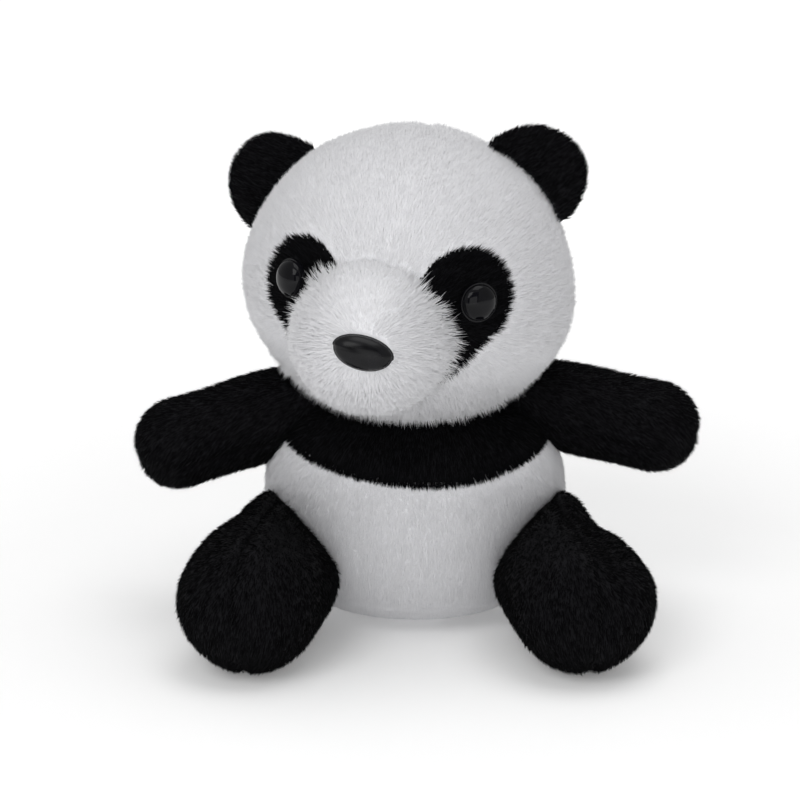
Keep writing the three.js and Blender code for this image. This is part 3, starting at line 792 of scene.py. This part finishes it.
def is_rear(side):
    def test(points):
        behind = (points[:, 1] >= SIDE_SEAM) & (points[:, 0] * SIDES[side] >= 0)
        return (above_band(points) <= 0) & behind & ~is_seat(points)

    return test


def torso_pile(name, test, per_mm2, length, shades):
    roots, normals = scatter(torso_skin, test, per_mm2)
    clear = np.linalg.norm(roots - HEAD_AT, axis=1) > NECK_BALL + 1.7 * MM
    roots, normals = roots[clear], normals[clear]
    flow = np.tile([0.0, 0.0, -1.0], (len(roots), 1))
    low = smooth(roots[:, 2], 3 * MM, 14 * MM)
    border = 1 - smooth(np.abs(above_band(roots)), 0, 4 * MM)
    long = length * (0.45 + 0.55 * low) * (1 - 0.2 * border)
    slant = 1.1 - 0.4 * (1 - low)
    tufty = 0.07 + 0.09 * border[:, None]
    made = pile(name, roots, normals, flow, long, slant, shades, tufty=tufty)
    # The pile is pressed flat where the toy sits on it.
    press_on_floor(made)
    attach(made, "torso")


def press_on_floor(made):
    count = len(made.data.vertices)
    co = np.zeros(count * 3, np.float32)
    made.data.vertices.foreach_get("co", co)
    co = co.reshape(-1, 3)
    co[:, 2] = np.maximum(co[:, 2], 0.02 * MM)
    made.data.vertices.foreach_set("co", co.ravel())
    made.data.update()


def build_torso():
    cuts = [
        ("chest_band_skin", is_chest, BLACK_BACKING, "black_plush", ["chest_band", "torso_stuffing"]),
        ("shoulder_band_skin", is_shoulders, BLACK_BACKING, "black_plush", ["shoulder_band"]),
        ("belly_skin", is_belly, WHITE_BACKING, "white_plush", ["belly_panel"]),
        ("back_skin_left", is_rear("left"), WHITE_BACKING, "white_plush", ["back_panel_left"]),
        ("back_skin_right", is_rear("right"), WHITE_BACKING, "white_plush", ["back_panel_right"]),
        ("seat_skin", is_seat, WHITE_BACKING, "white_plush", ["seat_panel"]),
    ]
    for name, test, look, slot, stands_for in cuts:
        made = panel(name, torso_skin, test, look)
        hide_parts(*stands_for)
        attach(made, "torso")
    torso_pile("chest_band_pile", is_chest, 9.0, 2.8 * MM, BLACK_PILE)
    torso_pile("shoulder_band_pile", is_shoulders, 7.0, 2.8 * MM, BLACK_PILE)
    # Along its lower edge the band's pile is thick enough to hide where the black cloth ends.
    torso_pile("chest_fringe", edge_of(is_chest), 26.0, 2.6 * MM, BLACK_PILE)
    torso_pile("shoulder_fringe", edge_of(is_shoulders), 16.0, 2.6 * MM, BLACK_PILE)
    torso_pile("belly_pile", is_belly, 10.0, 2.5 * MM, WHITE_PILE)
    for side in SIDES:
        torso_pile(f"rear_pile_{side}", is_rear(side), 6.0, 2.5 * MM, WHITE_PILE)


# ---------------------------------------------------------------- limbs and ears

ARM = {"root": 11.6, "radius": 12.6, "full_at": 18, "length": 43, "flatness": 0.86, "peak": 0.0, "dent": 0.0}
ARM_DROOP = {"left": 9, "right": 14}
ARM_FORWARD = 14
ARM_SEAM = 25
LEG = {"root": 15.2, "radius": 18.6, "full_at": 22, "length": 55, "flatness": 1, "peak": 0.5}
LEG_DENT = {"left": 1.0, "right": 0.3}
LEG_SPLAY = 13
LEG_SEAM = -90
PEAK_OUT = 7 * MM
HOLLOW = {"deep": 0.36, "easing": 0.16, "turned": 50, "drift": 16, "spread": 26}
LEG_DROP = math.degrees(math.asin(20 / math.hypot(37, 17.5)) - math.atan2(17.5, 37))


def limb_form(limb, seam_roll, inset, outward):
    """A limb along +X from its joint: a narrow root, a full end, and a seam along its length."""
    root, radius, full_at, length = [limb[k] * MM for k in ("root", "radius", "full_at", "length")]
    end_at = length - radius

    def form(directions):
        t = np.arccos(np.clip(-directions[:, 0], -1, 1)) / np.pi
        # Outline of the limb as radius against distance, evenly spaced along its length.
        x = np.linspace(-root, length, 600)
        swell = np.sin(np.clip(x / full_at, 0, 1) * np.pi / 2)
        r = np.where(x < 0, np.sqrt(np.maximum(root**2 - x**2, 0)), root + (radius - root) * swell)
        beyond = np.maximum(x - end_at, 0)
        r = np.where(x > end_at, np.sqrt(np.maximum(radius**2 - beyond**2, 0)), r)
        r[0] = r[-1] = 0
        run = np.concatenate([[0], np.cumsum(np.hypot(np.diff(x), np.diff(r)))])
        at = t * run[-1]
        far, wide = np.interp(at, run, x), np.interp(at, run, r)
        around = unit(directions[:, 1:] + 1e-9)
        flat = 1 + (limb["flatness"] - 1) * smooth(far, root * 0.5, full_at)
        p = np.stack([far, around[:, 0] * wide * flat, around[:, 1] * wide], 1)
        none = np.zeros_like(far)
        out = unit(p - np.stack([np.clip(far, 0, end_at), none, none], 1))
        # A thigh comes to a peak where it is sewn on, high on the body's side.
        peak = limb["peak"] * (1 - smooth(far, 0, full_at * 1.3)) * smooth(p[:, 2], -4 * MM, root)
        p[:, 1] = p[:, 1] * (1 - peak) + outward * PEAK_OUT * peak
        # The stuffing leaves a hollow high on the thigh's outer side.
        turned = np.degrees(np.arctan2(p[:, 2], outward * p[:, 1]))
        along = smooth(far, 0, full_at)
        depth = HOLLOW["deep"] * smooth(far, 4 * MM, 17 * MM) - HOLLOW["easing"] * along
        depth = limb["dent"] * np.maximum(0, depth)
        away = (turned - HOLLOW["turned"] - HOLLOW["drift"] * along) / HOLLOW["spread"]
        p[:, 1:] *= (1 - depth * np.exp(-(away**2)))[:, None]
        roll = math.radians(seam_roll)
        off = -p[:, 1] * math.sin(roll) + p[:, 2] * math.cos(roll)
        seam = np.exp(-((off / (1.5 * MM)) ** 2)) * smooth(far, -2 * MM, 6 * MM)
        lumps = waves(p, 20 * MM, 9 + int(length / MM)) * 0.35 * MM
        return p + out * (lumps - inset - 0.8 * MM * seam)[:, None]

    return form


def limb_place(side, joint, forward, droop):
    """How a limb's own points go to their place and back, and its turn."""
    at = np.array(JOINTS[joint]["pos_m"])
    aim = -forward if SIDES[side] > 0 else 180 + forward
    spin = turn("Z", aim) @ turn("Y", droop)

    def place(points):
        return points @ spin.T + at

    def unplace(points):
        return (points - at) @ spin

    return place, unplace, spin


def leg_place(side):
    return limb_place(side, f"leg_lift_{side}", 90 - LEG_SPLAY, LEG_DROP)


def leg_form(side):
    return limb_form({**LEG, "dent": LEG_DENT[side]}, SIDES[side] * LEG_SEAM, BACKING, SIDES[side])


def all_but(test):
    def rest(points):
        return ~test(points)

    return rest


def is_clear_of_torso(points):
    """Where a limb's pile can show: from just inside the torso's outline outwards."""
    return outside_torso(points) > -0.02


def build_limb(kind, side, limb, form, placing, roll, panels, per_mm2):
    """An arm or a leg: the two covers that meet along its seams, and its pile."""
    place, unplace, spin = placing
    skin = ball_surface(form, 34, place)
    skin.points[:, 2] = np.maximum(skin.points[:, 2], 0.3 * MM)
    angle = math.radians(roll)
    body = f"{kind}_{side}"

    def above(points):
        p = unplace(points)
        return -p[:, 1] * math.sin(angle) + p[:, 2] * math.cos(angle) > 0

    first, second = panels
    for part, test, stands_for in (
        (first, above, [f"{kind}_{first}_panel_{side}", f"{kind}_stuffing_{side}"]),
        (second, all_but(above), [f"{kind}_{second}_panel_{side}"]),
    ):
        made = panel(f"{kind}_{part}_skin_{side}", skin, test, BLACK_BACKING)
        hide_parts(*stands_for)
        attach(made, body)
    roots, normals = scatter(skin, is_clear_of_torso, per_mm2)
    local = unplace(roots)
    flow = np.tile([1.0, 0.0, -0.35], (len(roots), 1))
    tip = smooth(local[:, 0], (limb["length"] - limb["radius"]) * MM, limb["length"] * MM)
    flow[:, 2] -= tip
    slant = np.full(len(roots), 1.1) - 0.25 * tip
    length = np.full(len(roots), 2.4 * MM)
    made = pile(f"{kind}_pile_{side}", roots, normals, flow @ spin.T, length, slant, BLACK_PILE)
    press_on_floor(made)
    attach(made, body)


def build_arm(side):
    roll = SIDES[side] * ARM_SEAM
    placing = limb_place(side, f"arm_raise_{side}", ARM_FORWARD, ARM_DROOP[side])
    form = limb_form(ARM, roll, BACKING, SIDES[side])
    build_limb("arm", side, ARM, form, placing, roll, ("upper", "lower"), 8.0)


def build_leg(side):
    roll = SIDES[side] * LEG_SEAM
    build_limb("leg", side, LEG, leg_form(side), leg_place(side), roll, ("outer", "inner"), 6.0)


def build_leg_thread(side):
    """The ring of thread that holds a leg on, run along the line where leg and torso meet."""
    place, _, _ = leg_place(side)
    count, steps = 64, 160
    a = np.repeat(np.arange(count) * 2 * np.pi / count, steps)
    t = np.tile(np.linspace(0.02, 0.98, steps) * np.pi, count)
    ray = np.stack([-np.cos(t), np.sin(t) * np.cos(a), np.sin(t) * np.sin(a)], 1)
    line = place(leg_form(side)(ray)).reshape(count, steps, 3)
    out = (outside_torso(line.reshape(-1, 3)) > 0).reshape(count, steps)
    path = line[np.arange(count), out.argmax(1)]
    for _ in range(3):
        path = (np.roll(path, 1, 0) + path * 2 + np.roll(path, -1, 0)) / 4
    curve = bpy.data.curves.new(f"leg_thread_{side}", "CURVE")
    curve.dimensions = "3D"
    curve.bevel_depth = 0.3 * MM
    curve.bevel_resolution = 2
    ring = curve.splines.new("POLY")
    ring.points.add(count - 1)
    ring.points.foreach_set("co", np.column_stack([path, np.ones(count)]).ravel())
    ring.use_cyclic_u = True
    curve.materials.append(THREAD)
    made = bpy.data.objects.new(f"leg_thread_{side}", curve)
    bpy.context.scene.collection.objects.link(made)
    bpy.ops.object.select_all(action="DESELECT")
    made.select_set(True)
    bpy.context.view_layer.objects.active = made
    bpy.ops.object.convert(target="MESH")
    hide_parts(f"leg_stitching_{side}")
    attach(made, f"leg_{side}")


EAR = {"half_width": 14.5, "height": 15, "half_thickness": 5, "cup": 4.5, "behind": 6}
EAR_OUTWARD = {"left": 47, "right": 65}
EAR_SINK = 2
EAR_PILE_ROOM = 1.6 * MM
TAIL_PILE_ROOM = 1.8 * MM


def build_ear(side):
    """An ear: two cupped covers, set on the head's upper side and leaning outwards."""
    out = math.radians(EAR_OUTWARD[side])
    wide, deep, tall = HEAD_HALF / MM
    ray = 1 / math.hypot(math.sin(out) / wide, math.cos(out) / tall)
    reach = ray * math.sqrt(1 - (EAR["behind"] / deep) ** 2) - EAR_SINK
    at = np.array([SIDES[side] * reach * math.sin(out), EAR["behind"], reach * math.cos(out)]) * MM
    spin = turn("Y", SIDES[side] * EAR_OUTWARD[side])

    def cup(points):
        return EAR["cup"] * MM * (points[:, 0] / (EAR["half_width"] * MM)) ** 2

    def form(directions):
        half = np.array([EAR["half_width"], EAR["half_thickness"], EAR["height"]]) * MM
        p = directions * (half - EAR_PILE_ROOM)
        p[:, 1] -= cup(p)
        rim = 1 - np.abs(directions[:, 1])
        p[:, 1] *= 1 - 0.2 * smooth(rim, 0.75, 1)
        return p + directions * (waves(p, 14 * MM, 17 + SIDES[side]) * 0.3 * MM)[:, None]

    def place(points):
        return from_head(points @ spin.T + at)

    def fore(points):
        p = (to_head(points) - at) @ spin
        return p[:, 1] + cup(p) < 0

    skin = ball_surface(form, 22, place)

    body = f"ear_{side}"
    for name, test, stands_for in (
        (f"ear_front_{side}", fore, [f"ear_front_{side}", f"ear_stuffing_{side}"]),
        (f"ear_back_{side}", all_but(fore), [f"ear_back_{side}"]),
    ):
        made = panel(name + "_skin", skin, test, BLACK_BACKING, 0.8 * MM)
        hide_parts(*stands_for)
        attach(made, body)

    def outside(points):
        return np.linalg.norm(to_head(points) / HEAD_HALF, axis=1) > 0.97

    roots, normals = scatter(skin, outside, 10.0)
    flow = np.tile([0.0, 0.0, 1.0], (len(roots), 1)) @ spin.T @ HEAD_SPIN.T
    slant = np.ones(len(roots))
    made = pile(f"ear_pile_{side}", roots, normals, flow, slant * 2.2 * MM, slant, BLACK_PILE)
    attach(made, body)


def build_tail():
    low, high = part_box("tail_cover")
    middle = np.array((low + high) / 2)
    half = np.array((high - low) / 2)
    half[1] = half[0]
    middle[1] = high[1] - half[1]

    def form(directions):
        return directions * (half - TAIL_PILE_ROOM) + middle

    def everywhere(points):
        return np.ones(len(points), bool)

    def outside(points):
        return np.hypot(points[:, 0] / TORSO_HALF[0], points[:, 1] / TORSO_HALF[1]) > 0.7

    skin = ball_surface(form, 14)
    made = panel("tail_skin", skin, everywhere, WHITE_BACKING, 0.8 * MM)
    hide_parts("tail_cover", "tail_stuffing")
    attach(made, "torso")
    roots, normals = scatter(skin, outside, 8.0)
    flow = np.tile([0.0, 0.5, -1.0], (len(roots), 1))
    slant = np.ones(len(roots))
    made = pile("tail_pile", roots, normals, flow, slant * 2.5 * MM, slant, WHITE_PILE)
    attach(made, "torso")


build_head()
build_muzzle_pile()
build_eyes_and_nose()
build_torso()
build_tail()
for side in SIDES:
    build_arm(side)
    build_leg(side)
    build_leg_thread(side)
    build_ear(side)

for name, cad_node in frame["nodes"].items():
    if "washer" in name or "stitching" in name:
        cad_node.data.materials.clear()
        cad_node.data.materials.append(WASHER_PLASTIC if "washer" in name else THREAD)


# ---------------------------------------------------------------- stage, lights and camera

GLOW_FROM = {"away": 0.12, "strength": 0.16}
GLOW_TO = {"away": 0.5, "strength": 0.5}
WORLD_STRENGTH = 0.5
LIGHTS = {
    "key": {"at": (-0.4, -0.8, 0.8), "size": 0.6, "watts": 3.4},
    "fill": {"at": (0.1, -0.95, 0.12), "size": 0.7, "watts": 2.0},
    "top": {"at": (0.15, -0.05, 1.0), "size": 0.7, "watts": 2.7},
}
LIGHTS_AIM = Vector((0, 0, 0.06))
CARD = {"size": 1.3, "at": (0, -1.05, 0.36), "tilt": 74}
CAMERA = {"target": (-0.004, 0, 0.0555), "elevation": 16, "away": 0.7, "sees": 0.20256, "sensor": 36}


def build_stage():
    # The floor glows, as painted light: weakly near the toy and more strongly further off, so it shows white
    # far away while adding little light to the toy from below.
    material = bpy.data.materials.new("pale glowing floor")
    material.use_nodes = True
    shader = material.node_tree.nodes["Principled BSDF"]
    shader.inputs["Base Color"].default_value = (0.95, 0.95, 0.95, 1)
    shader.inputs["Emission Color"].default_value = (1, 1, 1, 1)
    shader.inputs["Roughness"].default_value = 0.9
    tree = material.node_tree
    place = node(tree, "ShaderNodeTexCoord")
    distance = node(tree, "ShaderNodeVectorMath", operation="LENGTH")
    glow = node(tree, "ShaderNodeMapRange")
    glow.inputs["From Min"].default_value = GLOW_FROM["away"]
    glow.inputs["From Max"].default_value = GLOW_TO["away"]
    glow.inputs["To Min"].default_value = GLOW_FROM["strength"]
    glow.inputs["To Max"].default_value = GLOW_TO["strength"]
    tree.links.new(place.outputs["Object"], distance.inputs[0])
    tree.links.new(distance.outputs["Value"], glow.inputs["Value"])
    tree.links.new(glow.outputs["Result"], shader.inputs["Emission Strength"])
    bpy.ops.object.select_all(action="DESELECT")
    bpy.ops.mesh.primitive_plane_add(size=6, location=(0, 0, 0))
    floor = bpy.context.object
    floor.name = "floor"
    floor.data.materials.append(material)
    world = bpy.data.worlds.new("studio")
    bpy.context.scene.world = world
    world.use_nodes = True
    world.node_tree.nodes["Background"].inputs["Color"].default_value = (1, 1, 1, 1)
    world.node_tree.nodes["Background"].inputs["Strength"].default_value = WORLD_STRENGTH
    # A dark card behind the viewer gives the eyes and nose something dark to reflect.
    dark = bpy.data.materials.new("dark card")
    dark.use_nodes = True
    dark.node_tree.nodes["Principled BSDF"].inputs["Base Color"].default_value = (0.01, 0.01, 0.01, 1)
    bpy.ops.object.select_all(action="DESELECT")
    tilt = (math.radians(CARD["tilt"]), 0, 0)
    bpy.ops.mesh.primitive_plane_add(size=CARD["size"], location=CARD["at"], rotation=tilt)
    card = bpy.context.object
    card.name = "card"
    card.data.materials.append(dark)
    card.visible_camera = False
    card.visible_shadow = False
    card.visible_diffuse = False
    for name, lit in LIGHTS.items():
        light = bpy.data.lights.new(name, "AREA")
        light.size = lit["size"]
        light.energy = lit["watts"]
        lamp = bpy.data.objects.new(name, light)
        lamp.location = lit["at"]
        aim = LIGHTS_AIM - lamp.location
        lamp.rotation_euler = aim.to_track_quat("-Z", "Y").to_euler()
        bpy.context.scene.collection.objects.link(lamp)


def build_camera():
    data = bpy.data.cameras.new("camera")
    camera = bpy.data.objects.new("camera", data)
    bpy.context.scene.collection.objects.link(camera)
    elevation = math.radians(CAMERA["elevation"])
    back = Vector((0, -math.cos(elevation), math.sin(elevation)))
    camera.location = Vector(CAMERA["target"]) + back * CAMERA["away"]
    camera.rotation_euler = (-back).to_track_quat("-Z", "Y").to_euler()
    data.sensor_width = CAMERA["sensor"]
    data.lens = CAMERA["sensor"] * CAMERA["away"] / CAMERA["sees"]
    data.clip_start = 0.01
    bpy.context.scene.camera = camera


build_stage()
build_camera()
bpy.context.scene.view_settings.view_transform = "Standard"
